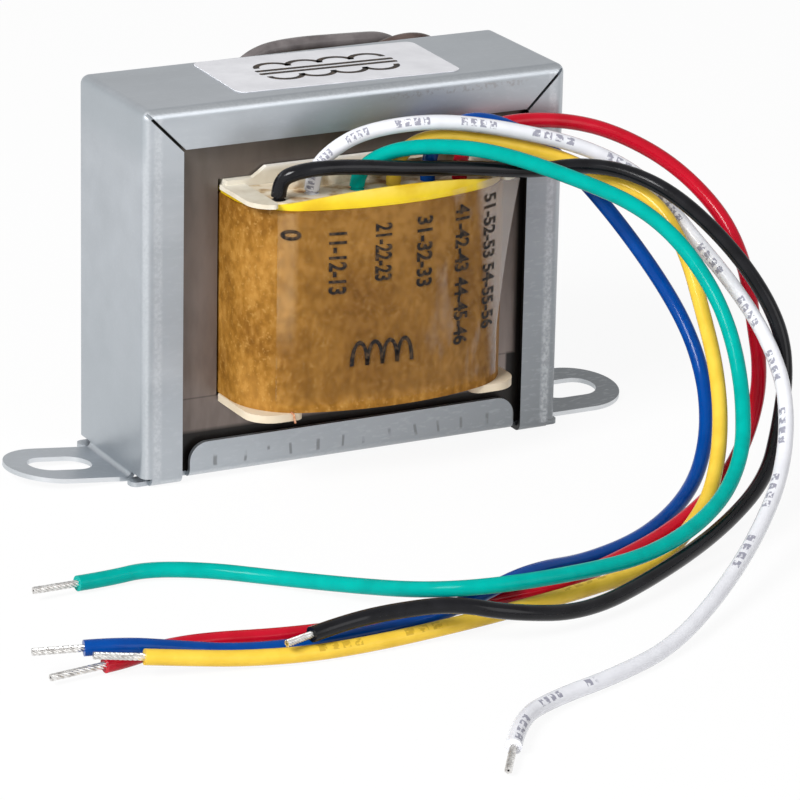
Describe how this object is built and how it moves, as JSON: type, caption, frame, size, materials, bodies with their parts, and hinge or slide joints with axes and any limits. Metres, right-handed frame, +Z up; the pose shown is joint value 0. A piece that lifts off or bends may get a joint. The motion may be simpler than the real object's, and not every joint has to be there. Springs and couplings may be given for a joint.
{
  "type": "speaker line matching transformer",
  "caption": "Audio line matching transformer: a wound bobbin on a laminated core, held in a folded steel frame with slotted mounting ears, with coloured tap leads.",
  "frame": {"origin": "on the mounting surface, under the middle of the core", "axes": "+X from the left ear to the right ear, +Y from the tap leads to the rear leads, +Z up from the mounting surface"},
  "size_m": [0.1138, 0.1681, 0.0494],
  "materials": {
    "zinc_steel": "zinc-plated, satin",
    "core_steel": "varnished laminations",
    "bobbin_nylon": "moulded, ivory",
    "copper_wire": "enamelled copper wire",
    "yellow_film": "adhesive film",
    "kraft_paper": "kraft",
    "clear_film": "clear adhesive film",
    "pad_paper": "insulating paper",
    "label_paper": "coated sticker",
    "pvc_black": "PVC lead",
    "pvc_white": "PVC lead",
    "pvc_green": "PVC lead",
    "pvc_yellow": "PVC lead",
    "pvc_blue": "PVC lead",
    "pvc_red": "PVC lead",
    "pvc_grey": "PVC lead",
    "pvc_brown": "PVC lead",
    "tinned_copper": "tinned strands"
  },
  "bodies": {
    "root": {"channel_frame": "zinc_steel", "base_plate": "zinc_steel", "e_laminations": "core_steel", "i_laminations": "core_steel", "bobbin": "bobbin_nylon", "secondary_winding": "copper_wire", "interwinding_tape": "yellow_film", "primary_winding": "copper_wire", "outer_tape": "yellow_film", "paper_wrap": "kraft_paper", "clear_tape": "clear_film", "front_lead_pad": "pad_paper", "rear_lead_pad": "pad_paper", "top_label": "label_paper", "lead_black": "pvc_black", "lead_tip_black": "tinned_copper", "lead_white": "pvc_white", "lead_tip_white": "tinned_copper", "lead_green": "pvc_green", "lead_tip_green": "tinned_copper", "lead_yellow": "pvc_yellow", "lead_tip_yellow": "tinned_copper", "lead_blue": "pvc_blue", "lead_tip_blue": "tinned_copper", "lead_red": "pvc_red", "lead_tip_red": "tinned_copper", "rear_lead_grey": "pvc_grey", "rear_lead_tip_grey": "tinned_copper", "rear_lead_brown": "pvc_brown", "rear_lead_tip_brown": "tinned_copper"}
  },
  "joints": []
}
